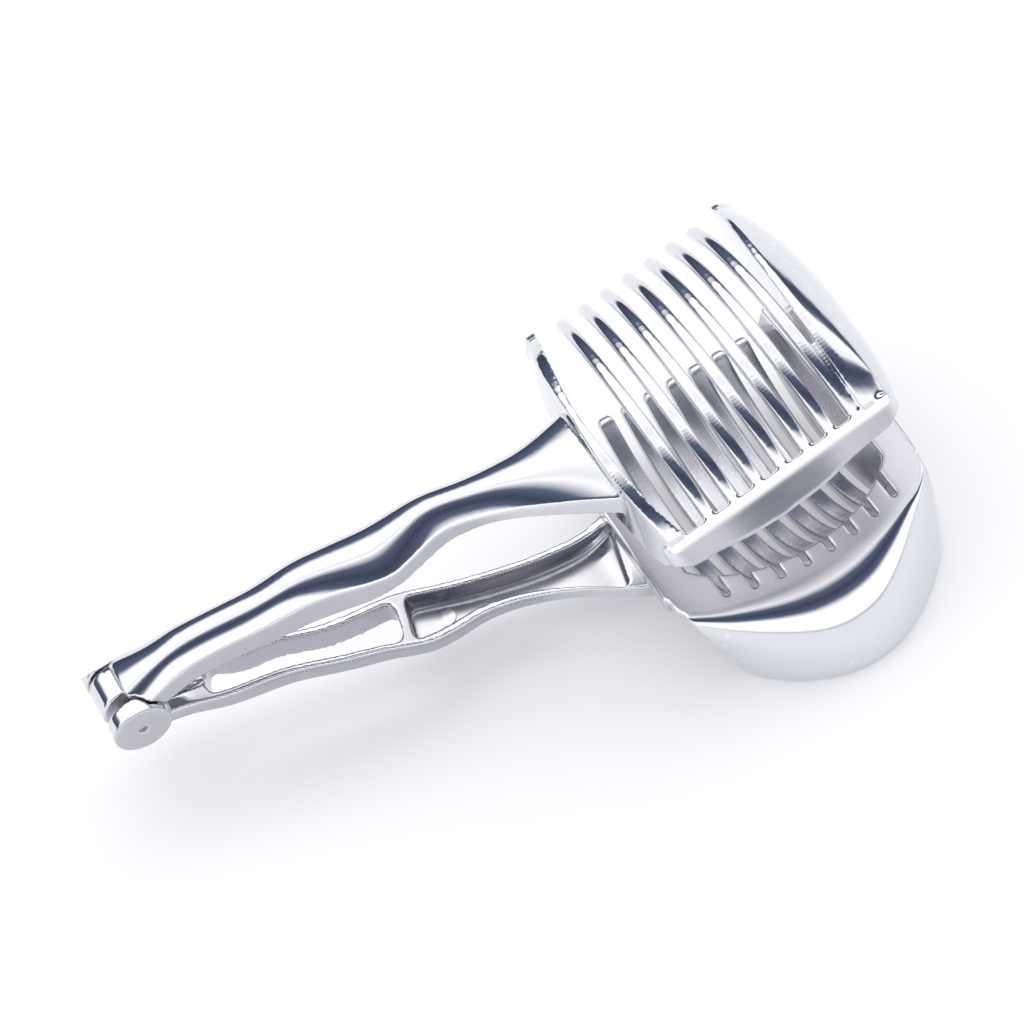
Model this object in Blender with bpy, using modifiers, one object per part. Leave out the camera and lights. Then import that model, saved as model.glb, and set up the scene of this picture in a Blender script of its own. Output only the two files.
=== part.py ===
"""Hand-held slicing tongs: two cast handles hinged at the tail, a comb jaw above a slotted bowl jaw.

Lengths are millimetres in the hinge frame until the last step: the hinge axis is the Y axis through X = Z = 0,
the handles run towards +X and the jaws part along Z. The upper casting is drawn closed and then turned open.
"""

import math

import bmesh
import bpy
import numpy as np
from mathutils import Quaternion

MM = 0.001
HINGE_AT = (-97.65, 33.55, 32.0)
OPEN_DEG = 9.08

GAP = 0.3
WALL = 2.2
RIM_TOP_CROWN = 4.5
BOTTOM_CROWN = 5.0

BARREL_HALF = 11.4
LUG_RADIUS = 7.7
LUG_INNER = 6.5
KNUCKLE_NEAR = -3.6
KNUCKLE_FAR = 5.6
PIN_RADIUS = 1.2
PIN_RECESS = 0.8
SPRING_WIRE = 0.4
SPRING_RADIUS = 2.9

SLOT_FIRST_X = 139.55
SLOT_PITCH = 6.99
SLOT_COUNT = 8
SLOT_WIDTH = 1.8
RIB_WIDTH = 4.3
TINE_WIDTH = 3.4
TINE_DEPTH = 4.0
RIB_DEPTH = 4.0

FLANGE_TOP = -6.1
FLANGE_THICK = 2.4
FRAME_BOTTOM = -5.3
BAR_INNER_Y = -56.2
RIDGE_Y = -58.3
SKIRT_BOTTOM = -32.0
SKIRT_THICK = 1.8
HANDLE_END = 124.6

# Stations of the handles along X, at the level of the rims.
NEAR_EDGE = [
    (2, -9.6), (12, -9.8), (24, -11.5), (36, -13.7), (48, -16.8), (60, -20.4), (68, -23.0), (73, -24.0),
    (80, -23.7), (88, -22.9), (96, -24.1), (104, -27.2), (112, -31.8), (120, -37.2), (127, -42.0), (136, -47.0),
]
UPPER_FAR_EDGE = [
    (2, 8.2), (12, 3.6), (24, 0.6), (36, -0.8), (48, -4.2), (60, -6.1), (72, -7.2),
    (84, -9.7), (96, -11.7), (108, -14.2), (118, -14.7), (127, -13.6), (136, -10.0),
]
LOWER_FAR_EDGE = [
    (2, 11.0), (9, 10.6), (15, 7.4), (21, 3.2), (28, 0.4), (36, -0.9), (48, -4.2), (60, -6.0), (72, -6.4),
    (84, -9.3), (96, -12.4), (108, -15.5), (118, -17.0), (127, -15.8), (136, -11.0),
]
RIM_HALF_GAP = [
    (2, 0.6), (12, 2.4), (20, 4.6), (40, 4.9), (52, 6.6), (64, 7.0), (72, 8.7),
    (80, 10.2), (100, 11.1), (112, 9.9), (127, 8.4), (136, 6.0),
]
UPPER_WALL = [
    (2, 4.0), (12, 5.8), (24, 6.4), (40, 7.5), (64, 8.2), (72, 5.8), (90, 5.4),
    (100, 4.0), (110, 4.9), (127, 7.6), (136, 8.0),
]
LOWER_WALL = [(2, 3.6), (12, 4.6), (40, 5.6), (70, 5.4), (90, 4.5), (112, 4.1), (127, 5.0), (136, 5.0)]

# Plan outlines of the heads, x as a function of y or y as a function of x.
UPPER_NEAR_OUTLINE = [(-57.5, 128.6), (-52.9, 126.7), (-46, 126.2), (-34.9, 125.2), (-14, 125.8), (0.9, 126.9),
                      (8.7, 128.7), (16.5, 131.4)]
UPPER_NEAR_EDGE_X = [(-57.5, 131.4), (-42, 129.4), (-19, 129.9), (-3, 130.6), (14, 133.2)]
UPPER_NEAR_INNER_X = [(-57.5, 136.0), (-50, 133.6), (-45, 132.7), (-35, 131.8), (-21, 131.6), (0, 134.1), (14, 135.6)]
UPPER_FAR_OUTLINE = [(-56, 195.9), (-48, 197.8), (-29.4, 199.6), (-7.3, 199.3), (7.3, 196.9), (16.5, 194.4)]
UPPER_FAR_EDGE_X = [(-56, 189.4), (-37, 188.9), (-16, 189.3), (14, 191.2)]
UPPER_FAR_INNER_X = [(-56, 187.1), (-37, 187.1), (-16, 187.8), (14, 189.8)]
BAR_FOOT = [(129, -57.8), (132.3, -60.3), (140.2, -61.6), (148, -63.0), (156.2, -63.7), (163, -63.6), (171.1, -63.1),
            (177.8, -61.8), (184.8, -60.9), (192.5, -59.6), (195.6, -57.2)]

SKIRT_EDGE = [(127.8, -58), (133, -60.4), (139.6, -62.4), (150, -64.8), (163, -65.8), (176, -65.0), (187, -62.9),
              (193.5, -60.8), (198, -57), (200, -50), (201, -40)]
FLANGE_EDGE = [(125.7, -40), (126.2, -50)] + SKIRT_EDGE
SKIRT_FOOT = [(136.6, -67), (139.7, -71.2), (144.4, -75.5), (150.7, -79.5), (157.7, -82.3), (166, -83.3),
              (174.4, -81.9), (183.3, -77.6), (190.7, -72), (197.8, -64.5), (201.3, -57), (202.8, -48), (203, -40)]
BOWL_MIDDLE = (163.6, -37.8)


def smooth(x, stations):
    """Smooth curve through the stations: cubic Hermite with slopes taken from the neighbours."""
    xs = np.array([p[0] for p in stations], float)
    ys = np.array([p[1] for p in stations], float)
    slopes = np.gradient(ys, xs)
    x = min(max(x, xs[0]), xs[-1])
    i = int(min(max(np.searchsorted(xs, x) - 1, 0), len(xs) - 2))
    step = xs[i + 1] - xs[i]
    t = (x - xs[i]) / step
    low = (2 * t**3 - 3 * t**2 + 1) * ys[i] + (t**3 - 2 * t**2 + t) * step * slopes[i]
    return low + (3 * t**2 - 2 * t**3) * ys[i + 1] + (t**3 - t**2) * step * slopes[i + 1]


def parting(x):
    """Height of the plane between the two castings."""
    return -5.5 * min(x / 127.0, 1.0)


def circle_through(a, b, c):
    """Centre and radius of the circle through three points."""
    (ax, ay), (bx, by), (cx, cy) = a, b, c
    d = 2 * (ax * (by - cy) + bx * (cy - ay) + cx * (ay - by))
    ux = ((ax**2 + ay**2) * (by - cy) + (bx**2 + by**2) * (cy - ay) + (cx**2 + cy**2) * (ay - by)) / d
    uy = ((ax**2 + ay**2) * (cx - bx) + (bx**2 + by**2) * (ax - cx) + (cx**2 + cy**2) * (bx - ax)) / d
    return (ux, uy), math.hypot(ax - ux, ay - uy)


TINE_CENTRE, TINE_RADIUS = circle_through((14.7, 4.0), (-22.0, 19.0), (RIDGE_Y, 0.6))
BOWL_CENTRE, BOWL_RADIUS = circle_through((-59.6, FLANGE_TOP), (-27.0, -27.0), (8.3, -14.0))


def tine_top(y):
    return TINE_CENTRE[1] + math.sqrt(TINE_RADIUS**2 - (y - TINE_CENTRE[0]) ** 2)


def bowl_floor(y):
    return BOWL_CENTRE[1] - math.sqrt(BOWL_RADIUS**2 - (y - BOWL_CENTRE[0]) ** 2)


def new_collection(name, hidden=False):
    collection = bpy.data.collections.new(name)
    bpy.context.scene.collection.children.link(collection)
    collection.hide_render = hidden
    return collection


def clear_scene():
    for obj in list(bpy.data.objects):
        bpy.data.objects.remove(obj, do_unlink=True)


def metal(name, colour, roughness):
    material = bpy.data.materials.new(name)
    material.use_nodes = True
    shader = material.node_tree.nodes["Principled BSDF"]
    shader.inputs["Base Color"].default_value = (*colour, 1.0)
    shader.inputs["Metallic"].default_value = 1.0
    shader.inputs["Roughness"].default_value = roughness
    return material


def loft(name, rings, sheet=False):
    """Solid through closed rings of equal length, capped at both ends; a sheet's ring runs out along one side and back
    along the other, and its caps are strips between the two."""
    mesh = bpy.data.meshes.new(name)
    shape = bmesh.new()
    rows = [[shape.verts.new([c * MM for c in point]) for point in ring] for ring in rings]
    for row, following in zip(rows, rows[1:]):
        for i in range(len(row)):
            j = (i + 1) % len(row)
            shape.faces.new((row[i], row[j], following[j], following[i]))
    for row in (rows[0], rows[-1]):
        if sheet:
            for i in range(len(row) // 2 - 1):
                shape.faces.new((row[i], row[i + 1], row[-i - 2], row[-i - 1]))
        else:
            shape.faces.new(row)
    bmesh.ops.recalc_face_normals(shape, faces=shape.faces)
    shape.to_mesh(mesh)
    shape.free()
    return bpy.data.objects.new(name, mesh)


def cylinder(name, radius, y_from, y_to, segments=40):
    """Round bar along Y on the hinge axis."""
    mesh = bpy.data.meshes.new(name)
    shape = bmesh.new()
    bmesh.ops.create_cone(
        shape, cap_ends=True, segments=segments, radius1=radius * MM, radius2=radius * MM, depth=(y_to - y_from) * MM
    )
    shape.to_mesh(mesh)
    shape.free()
    obj = bpy.data.objects.new(name, mesh)
    obj.rotation_euler = (math.radians(90), 0, 0)
    obj.location = (0, (y_from + y_to) / 2 * MM, 0)
    return obj


def block(name, x, y, z):
    """Box between the given limits along each axis."""
    mesh = bpy.data.meshes.new(name)
    shape = bmesh.new()
    bmesh.ops.create_cube(shape, size=1.0)
    for vert in shape.verts:
        for axis, (low, high) in enumerate((x, y, z)):
            vert.co[axis] = (low if vert.co[axis] < 0 else high) * MM
    shape.to_mesh(mesh)
    shape.free()
    return bpy.data.objects.new(name, mesh)


def profile_bar(name, outline, x_middle, width, edge):
    """Flat outline in the Y-Z plane given a width along X, with its edges rounded."""
    curve = bpy.data.curves.new(name, "CURVE")
    curve.dimensions = "2D"
    curve.fill_mode = "BOTH"
    curve.extrude = (width / 2 - edge) * MM
    curve.bevel_depth = edge * MM
    curve.bevel_resolution = 1
    curve.offset = -edge * MM
    spline = curve.splines.new("POLY")
    spline.points.add(len(outline) - 1)
    for point, (y, z) in zip(spline.points, outline):
        point.co = (y * MM, z * MM, 0, 1)
    spline.use_cyclic_u = True
    obj = bpy.data.objects.new(name, curve)
    obj.rotation_mode = "QUATERNION"
    obj.rotation_quaternion = (0.5, 0.5, 0.5, 0.5)
    obj.location = (x_middle * MM, 0, 0)
    return obj


def combine(base, other, operation):
    """Boolean of base with other; other is kept as a hidden helper."""
    bpy.data.collections["helpers"].objects.link(other)
    other.display_type = "WIRE"
    modifier = base.modifiers.new(f"{operation.lower()} {other.name}", "BOOLEAN")
    modifier.operation = operation
    modifier.solver = "EXACT"
    modifier.object = other
    return base


def handle_ring(x, near, far, rim, wall, crown, points=12):
    """Cross-section of a handle: straight walls from the rim to the wall level, then a half-ellipse crown."""
    middle = (near + far) / 2
    half = (far - near) / 2
    ring = [(x, near, rim)]
    for i in range(points + 1):
        angle = math.pi - math.pi * i / points
        ring.append((x, middle + half * math.cos(angle), wall + crown * math.sin(angle)))
    ring.append((x, far, rim))
    return ring


def upper_handle_rings(xs, inset=0.0, drop=0.0):
    rings = []
    for x in xs:
        near = smooth(x, NEAR_EDGE) + inset
        far = smooth(x, UPPER_FAR_EDGE) - inset
        rim = parting(x) + smooth(x, RIM_HALF_GAP)
        wall = rim + smooth(x, UPPER_WALL)
        rings.append(handle_ring(x, near, far, rim - drop, wall, RIM_TOP_CROWN - inset * 0.8))
    return rings


def lower_handle_rings(xs):
    rings = []
    for x in xs:
        near = smooth(x, NEAR_EDGE)
        far = smooth(x, LOWER_FAR_EDGE)
        rim = parting(x) - smooth(x, RIM_HALF_GAP)
        wall = rim - smooth(x, LOWER_WALL)
        rings.append(handle_ring(x, near, far, rim, wall, -BOTTOM_CROWN))
    return rings


def channel_rings(xs, floor_depth):
    """Rings of the cutter that hollows the lower handle from above, down to floor_depth(x) below its rim."""
    rings = []
    for x in xs:
        near = smooth(x, NEAR_EDGE) + WALL
        far = smooth(x, LOWER_FAR_EDGE) - WALL
        rim = parting(x) - smooth(x, RIM_HALF_GAP)
        floor = rim - floor_depth(x)
        rings.append([(x, near, rim + 12), (x, near, floor), (x, far, floor), (x, far, rim + 12)])
    return rings


def skewed(rings, shear=0.24):
    """The rings sheared along X with Y, so that they stand square to the slanting handle."""
    turned = []
    for ring in rings:
        middle = sum(p[1] for p in ring) / len(ring)
        turned.append([(x + shear * (y - middle), y, z) for x, y, z in ring])
    return turned


def hinge_clearance(solid, name, y_from, y_to):
    return combine(solid, cylinder(name, LUG_RADIUS + 0.5, y_from, y_to), "DIFFERENCE")


def make_upper_handle():
    xs = list(np.linspace(2, HANDLE_END - GAP / 2, 26))
    handle = loft("upper_handle", upper_handle_rings(xs))
    hinge_clearance(handle, "near_lug_room", -BARREL_HALF - 2, -LUG_INNER + 2 * GAP)
    hinge_clearance(handle, "far_lug_room", KNUCKLE_FAR, BARREL_HALF + 2)
    combine(handle, cylinder("spring_room", SPRING_RADIUS + 1.3, -LUG_INNER - 1, KNUCKLE_NEAR), "DIFFERENCE")
    hollow = upper_handle_rings(list(np.linspace(10.5, 116, 22)), WALL, 4.0)
    combine(handle, loft("upper_hollow", skewed(hollow)), "DIFFERENCE")
    combine(handle, block("upper_leg_room", (0, 15), (-LUG_INNER, -LUG_INNER + 1.6), (-2, 5.4)), "DIFFERENCE")
    combine(handle, cylinder("knuckle", LUG_RADIUS - 0.3, KNUCKLE_NEAR, KNUCKLE_FAR), "UNION")
    combine(handle, block("knuckle_web", (0, 12), (KNUCKLE_NEAR, KNUCKLE_FAR - 1.2), (2.4, 7.6)), "UNION")
    combine(handle, cylinder("knuckle_bore", PIN_RADIUS + GAP, -20, 20, 24), "DIFFERENCE")
    return handle


def floor_depth(x):
    """Depth of the pocket's floor below the rim, rising as a scoop towards the jaw."""
    return 7.6 if x < 108 else 7.6 - 3.6 * ((x - 108) / 17) ** 2


def make_lower_handle():
    xs = list(np.linspace(2, HANDLE_END - GAP / 2, 26))
    handle = loft("lower_handle", lower_handle_rings(xs))
    combine(handle, cylinder("near_lug", LUG_RADIUS, -BARREL_HALF, -LUG_INNER), "UNION")
    far_lug = cylinder("far_lug", LUG_RADIUS, LUG_INNER, BARREL_HALF)
    slope = block("far_lug_slope", (-20, 20), (0, 12), (-20, 20))
    slope.location = (0, BARREL_HALF * MM, 0)
    slope.rotation_euler = (math.atan(0.65), 0, 0)
    combine(far_lug, slope, "DIFFERENCE")
    combine(handle, far_lug, "UNION")
    hinge_clearance(handle, "knuckle_room", -LUG_INNER, LUG_INNER)
    window = channel_rings(list(np.linspace(19, 68.5, 11)), lambda x: 30)
    combine(handle, loft("window", skewed(window)), "DIFFERENCE")
    combine(handle, block("lower_leg_room", (0, 22), (KNUCKLE_NEAR - 1.6, KNUCKLE_NEAR), (-5.4, 4)), "DIFFERENCE")
    pocket = channel_rings(list(np.linspace(71, 125, 14)), floor_depth)
    combine(handle, loft("pocket", skewed(pocket)), "DIFFERENCE")
    combine(handle, cylinder("lug_bore", PIN_RADIUS + GAP, -20, 20, 24), "DIFFERENCE")
    return handle


def tine_outline():
    """Outline of a tine in Y-Z: two concentric arcs joined by a round tip."""
    start = math.atan2(tine_top(BAR_INNER_Y + GAP) - TINE_CENTRE[1], BAR_INNER_Y + GAP - TINE_CENTRE[0])
    end = math.atan2(4.0 - TINE_CENTRE[1], 13.2 - TINE_CENTRE[0])
    angles = np.linspace(start, end, 16)
    inner = TINE_RADIUS - TINE_DEPTH
    middle = TINE_RADIUS - TINE_DEPTH / 2
    outline = [arc_point(TINE_CENTRE, TINE_RADIUS, a) for a in angles]
    tip = arc_point(TINE_CENTRE, middle, end)
    for turn in np.linspace(end, end - math.pi, 6)[1:-1]:
        outline.append(arc_point(tip, TINE_DEPTH / 2, turn))
    outline += [arc_point(TINE_CENTRE, inner, a) for a in reversed(angles[1:])]
    outline.append((BAR_INNER_Y + GAP, arc_height(TINE_CENTRE, inner, BAR_INNER_Y + GAP)))
    return outline


def arc_point(centre, radius, angle):
    return centre[0] + radius * math.cos(angle), centre[1] + radius * math.sin(angle)


def arc_height(centre, radius, y):
    return centre[1] + math.sqrt(radius**2 - (y - centre[0]) ** 2)


def rib_outline():
    """Outline of a bowl rib in Y-Z: it hangs below the flange, dips under the bowl and ends in a round tip."""
    outer = BOWL_RADIUS + RIB_DEPTH
    top = FLANGE_TOP - FLANGE_THICK - GAP
    start_in = math.asin((top - BOWL_CENTRE[1]) / BOWL_RADIUS)
    start_out = math.asin((top - BOWL_CENTRE[1]) / outer)
    end = math.atan2(-14.0 - BOWL_CENTRE[1], 6.6 - BOWL_CENTRE[0])
    inner_angles = np.linspace(-math.pi - start_in, end, 16)
    outer_angles = np.linspace(-math.pi - start_out, end, 16)
    outline = [arc_point(BOWL_CENTRE, BOWL_RADIUS, a) for a in inner_angles]
    tip = arc_point(BOWL_CENTRE, BOWL_RADIUS + RIB_DEPTH / 2, end)
    for turn in np.linspace(end + math.pi, end, 6)[1:-1]:
        outline.append(arc_point(tip, RIB_DEPTH / 2, turn))
    outline += [arc_point(BOWL_CENTRE, outer, a) for a in reversed(outer_angles)]
    return outline


def make_tine(index):
    """Tine standing on the front bar; the tines close up a little from root to tip."""
    lean = -(0.55 + 0.32 * index) / 69.4
    x = SLOT_FIRST_X + SLOT_PITCH * (index + 0.5)
    tine = profile_bar(f"tine_{index + 1}", tine_outline(), x - lean * BAR_INNER_Y, TINE_WIDTH, 0.9)
    tine.rotation_quaternion = Quaternion((0, 0, 1), -math.atan(lean)) @ tine.rotation_quaternion
    return tine


def plate_rings(outline, top_edge, inner_edge, y_end):
    """Sections along Y of a side plate of the comb frame: inner face upright, outer face sloping out to its foot."""
    rings = []
    for y in np.linspace(-56.5, y_end, 18):
        top = tine_top(min(y, 14.7)) + (0.6 if y < 10 else 0.0)
        foot = FRAME_BOTTOM if y < 4 else FRAME_BOTTOM + 4.2 * ((y - 4) / (y_end - 4)) ** 2
        inner_x = smooth(y, inner_edge)
        ridge_x = smooth(y, top_edge)
        foot_x = smooth(y, outline)
        bulge_x = ridge_x + 0.66 * (foot_x - ridge_x)
        bulge_z = foot + 0.55 * (top - foot)
        rings.append([(inner_x, y, foot), (foot_x, y, foot), (bulge_x, y, bulge_z), (ridge_x, y, top), (inner_x, y, top)])
    return rings


def make_upper_frame():
    near = plate_rings(UPPER_NEAR_OUTLINE, UPPER_NEAR_EDGE_X, UPPER_NEAR_INNER_X, 16.2)
    far = plate_rings(UPPER_FAR_OUTLINE, UPPER_FAR_EDGE_X, UPPER_FAR_INNER_X, 16.2)
    bar = []
    for x in np.linspace(129.2, 195.4, 22):
        foot = smooth(x, BAR_FOOT)
        inner = min(BAR_INNER_Y, foot + 12)
        ridge = max(RIDGE_Y, foot + 0.8)
        bar.append([
            (x, inner, FRAME_BOTTOM),
            (x, inner, tine_top(BAR_INNER_Y) - 0.2),
            (x, ridge, tine_top(RIDGE_Y)),
            (x, foot, FRAME_BOTTOM + 0.8),
            (x, foot + 0.5, FRAME_BOTTOM),
        ])
    frame = loft("upper_frame", near)
    combine(frame, loft("far_plate", far), "UNION")
    combine(frame, loft("front_bar", bar), "UNION")
    neck = upper_handle_rings(list(np.linspace(HANDLE_END + GAP / 2, 130.6, 5)))
    combine(frame, loft("upper_neck", neck), "UNION")
    return frame


def bowl_rim(angle):
    return BOWL_MIDDLE[0] + 32.4 * math.cos(angle), BOWL_MIDDLE[1] + 21.7 * math.sin(angle)


def resampled(points, count):
    """The polyline smoothed and divided into count points at equal steps of length."""
    pts = np.array(points, float)
    s = np.concatenate([[0], np.cumsum(np.hypot(*np.diff(pts, axis=0).T))])
    at = np.linspace(0, s[-1], count)
    xs = [smooth(v, list(zip(s, pts[:, 0]))) for v in at]
    ys = [smooth(v, list(zip(s, pts[:, 1]))) for v in at]
    return list(zip(xs, ys))


def flange_rings(columns=41):
    """Upright sections of the flat flange, from the bowl's rim to the outer edge."""
    rings = []
    for i, (x, y) in enumerate(resampled(FLANGE_EDGE, columns)):
        rim = bowl_rim(math.pi + math.pi * i / (columns - 1))
        low = FLANGE_TOP - FLANGE_THICK
        rings.append([(*rim, FLANGE_TOP), (x, y, FLANGE_TOP), (x, y, low), (*rim, low)])
    return rings


def skirt_rings(columns=29):
    """Sections of the skirt, which rolls over from the flange's edge and drops to its foot.

    At the handle's end the free edge leans along X with depth; towards the nose each section is a plain quarter ellipse.
    """
    rings = []
    drop = FLANGE_TOP - SKIRT_BOTTOM
    tops = resampled(SKIRT_EDGE, columns)
    feet = resampled(SKIRT_FOOT, columns)
    for i, (top, foot) in enumerate(zip(tops, feet)):
        round_share = min(i / (columns * 0.45), 1.0)
        inward = np.array(BOWL_MIDDLE) - np.array(top)
        inward = inward / np.hypot(*inward)
        outer = [(top[0] + 2 * inward[0], top[1] + 2 * inward[1], FLANGE_TOP - 0.8)]
        inner = [(top[0] + 2 * inward[0], top[1] + 2 * inward[1], FLANGE_TOP - 1.8)]
        for angle in np.linspace(0, math.pi / 2, 8)[1:]:
            out = math.sin(angle)
            down = 1 - math.cos(angle)
            along = down + (out - down) * round_share
            x = top[0] + (foot[0] - top[0]) * along
            y = top[1] + (foot[1] - top[1]) * out
            z = FLANGE_TOP - drop * down
            outer.append((x, y, z))
            inset = SKIRT_THICK * out
            inner.append((x + inset * inward[0], y + inset * inward[1], z - SKIRT_THICK * (1 - down)))
        rings.append(outer + inner[::-1])
    return rings


def end_wall_rings(side):
    """Sections along Y of an end wall of the bowl; side is -1 at the handle and +1 at the nose."""
    rings = []
    for y in np.linspace(-52, 9, 14):
        floor = bowl_floor(y)
        if side < 0:
            top_out, top_in, low_in = 125.9 + 0.02 * (y + 40), 134.6, 137.4
        else:
            top_out, top_in, low_in = 200.6 - 0.05 * max(y + 35, 0), 192.6, 189.9
        low_out = low_in + side * 3.2
        rings.append([
            (top_out, y, FLANGE_TOP),
            (top_in, y, FLANGE_TOP),
            (low_in, y, floor),
            (low_in, y, floor - RIB_DEPTH),
            (low_out, y, floor - RIB_DEPTH),
            (top_out, y, FLANGE_TOP - 5.5),
        ])
    return rings


def slot_cutter(index):
    """Round-ended slot through the flange, running into the bowl."""
    x = SLOT_FIRST_X + SLOT_PITCH * index
    end = -63.8 + 0.34 * (index - 3.5) ** 2
    half = SLOT_WIDTH / 2
    outline = [(x + half, -30.0), (x + half, end + half)]
    outline += [(x + half * math.cos(a), end + half + half * math.sin(a)) for a in np.linspace(0, -math.pi, 7)[1:-1]]
    outline += [(x - half, end + half), (x - half, -30.0)]
    rings = [[(px, py, z) for px, py in outline] for z in (FLANGE_TOP - 4, FLANGE_TOP + 2)]
    return loft(f"slot_{index + 1}", rings)


def make_lower_jaw():
    jaw = loft("lower_jaw", flange_rings(), sheet=True)
    combine(jaw, loft("skirt", skirt_rings(), sheet=True), "UNION")
    combine(jaw, loft("handle_end_wall", end_wall_rings(-1)), "UNION")
    combine(jaw, loft("nose_end_wall", end_wall_rings(1)), "UNION")
    neck = lower_handle_rings(list(np.linspace(HANDLE_END + GAP / 2, 134, 5)))
    combine(jaw, loft("lower_neck", neck), "UNION")
    for index in range(SLOT_COUNT):
        combine(jaw, slot_cutter(index), "DIFFERENCE")
    return jaw


def make_spring():
    """Torsion spring round the pin, one leg under the upper handle and one in the lower handle."""
    curve = bpy.data.curves.new("torsion_spring", "CURVE")
    curve.dimensions = "3D"
    curve.bevel_depth = SPRING_WIRE * MM
    curve.bevel_resolution = 2
    curve.use_fill_caps = True
    y_near = -LUG_INNER + GAP + SPRING_WIRE
    y_far = KNUCKLE_NEAR - GAP - SPRING_WIRE
    first = math.pi / 2
    turn = 3 * math.pi
    points = [(14.0, y_near, 4.3)]
    for angle in np.linspace(first, first + turn, 34):
        y = y_near + (y_far - y_near) * (angle - first) / turn
        points.append((SPRING_RADIUS * math.cos(angle), y, SPRING_RADIUS * math.sin(angle)))
    points.append((14.0, y_far, -4.4))
    spline = curve.splines.new("POLY")
    spline.points.add(len(points) - 1)
    for point, co in zip(spline.points, points):
        point.co = (*[c * MM for c in co], 1)
    return bpy.data.objects.new("torsion_spring", curve)


def make_pin():
    pin = cylinder("hinge_pin", PIN_RADIUS, -BARREL_HALF + PIN_RECESS, BARREL_HALF - PIN_RECESS, 24)
    edge = pin.modifiers.new("chamfer", "BEVEL")
    edge.width = 0.25 * MM
    edge.segments = 1
    edge.limit_method = "ANGLE"
    return pin


def make_washer():
    washer = cylinder("hinge_washer", 5.4, KNUCKLE_FAR + 0.25, KNUCKLE_FAR + 0.65, 32)
    combine(washer, cylinder("washer_hole", PIN_RADIUS + GAP, KNUCKLE_FAR, KNUCKLE_FAR + 1, 24), "DIFFERENCE")
    return washer


def place(obj, parent, colour=(0.80, 0.80, 0.82), roughness=0.16):
    bpy.data.collections["slicing_tongs"].objects.link(obj)
    obj.parent = parent
    obj.data.materials.append(metal(f"{obj.name}_metal", colour, roughness))


def empty(name, parent=None):
    obj = bpy.data.objects.new(name, None)
    bpy.data.collections["slicing_tongs"].objects.link(obj)
    obj.parent = parent
    return obj


def adopt_helpers(parent, known):
    """Helpers made since `known` follow the group they cut."""
    for helper in bpy.data.collections["helpers"].objects:
        if helper.name not in known:
            helper.parent = parent
    return {helper.name for helper in bpy.data.collections["helpers"].objects}


def main():
    clear_scene()
    new_collection("slicing_tongs")
    new_collection("helpers", hidden=True)
    hinge = empty("hinge")
    hinge.location = [c * MM for c in HINGE_AT]
    opened = empty("upper_opened", hinge)
    opened.rotation_euler = (0, -math.radians(OPEN_DEG), 0)

    known = set()
    place(make_lower_handle(), hinge)
    place(make_lower_jaw(), hinge, roughness=0.2)
    for index in range(SLOT_COUNT - 1):
        x = SLOT_FIRST_X + SLOT_PITCH * (index + 0.5)
        place(profile_bar(f"bowl_rib_{index + 1}", rib_outline(), x, RIB_WIDTH, 0.6), hinge)
    place(make_pin(), hinge, (0.62, 0.62, 0.64), 0.3)
    place(make_washer(), hinge, (0.7, 0.7, 0.7), 0.25)
    place(make_spring(), hinge, (0.55, 0.55, 0.57), 0.25)
    known = adopt_helpers(hinge, known)

    place(make_upper_handle(), opened)
    place(make_upper_frame(), opened)
    for index in range(SLOT_COUNT - 1):
        place(make_tine(index), opened)
    adopt_helpers(opened, known)

    for helper in bpy.data.collections["helpers"].objects:
        helper.hide_render = True


main()
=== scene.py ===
"""Looks of the slicing tongs: two polished die castings hinged at the tail, a pin, a washer and a spring.

Shapes are drawn in millimetres in the hinge frame, as the CAD is. The hinge axis is the Y axis through
X = Z = 0, the handles run towards +X, and the upper casting is drawn closed, then turned open.
"""

import math

import bmesh
import bpy
import numpy as np
from mathutils import Matrix


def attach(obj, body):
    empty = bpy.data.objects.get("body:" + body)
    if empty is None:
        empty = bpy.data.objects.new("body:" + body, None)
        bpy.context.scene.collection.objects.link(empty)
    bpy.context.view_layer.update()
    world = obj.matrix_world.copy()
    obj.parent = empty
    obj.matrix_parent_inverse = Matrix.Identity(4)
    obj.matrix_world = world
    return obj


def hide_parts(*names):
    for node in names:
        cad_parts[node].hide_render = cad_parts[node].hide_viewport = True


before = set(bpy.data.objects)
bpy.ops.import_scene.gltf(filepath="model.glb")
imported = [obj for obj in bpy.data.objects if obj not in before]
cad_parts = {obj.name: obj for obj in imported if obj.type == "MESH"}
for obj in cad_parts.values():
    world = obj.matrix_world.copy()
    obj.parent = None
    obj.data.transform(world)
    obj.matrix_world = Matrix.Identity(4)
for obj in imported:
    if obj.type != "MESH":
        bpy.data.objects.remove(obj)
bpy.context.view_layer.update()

HINGE_AT = (-97.65, 33.55, 32.0)
OPEN_DEG = 9.08
VOXEL = 0.4

GAP = 0.3
WALL = 2.2
TOP_CROWN = 4.5
BOTTOM_CROWN = 5.0
BARREL_HALF = 11.4
LUG_RADIUS = 7.7
LUG_INNER = 6.5
KNUCKLE_NEAR = -3.6
KNUCKLE_FAR = 5.6
PIN_RADIUS = 1.2
PIN_RECESS = 0.8
SPRING_WIRE = 0.4
SPRING_RADIUS = 2.9

SLOT_FIRST_X = 139.55
SLOT_PITCH = 6.99
SLOT_COUNT = 8
SLOT_WIDTH = 1.8
RIB_WIDTH = 4.3
TINE_WIDTH = 3.4
TINE_DEPTH = 4.0
RIB_DEPTH = 4.0

FLANGE_TOP = -6.1
FLANGE_THICK = 2.4
FRAME_BOTTOM = -5.3
BAR_INNER_Y = -56.2
RIDGE_Y = -58.3
SKIRT_BOTTOM = -32.0
SKIRT_THICK = 1.8

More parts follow.
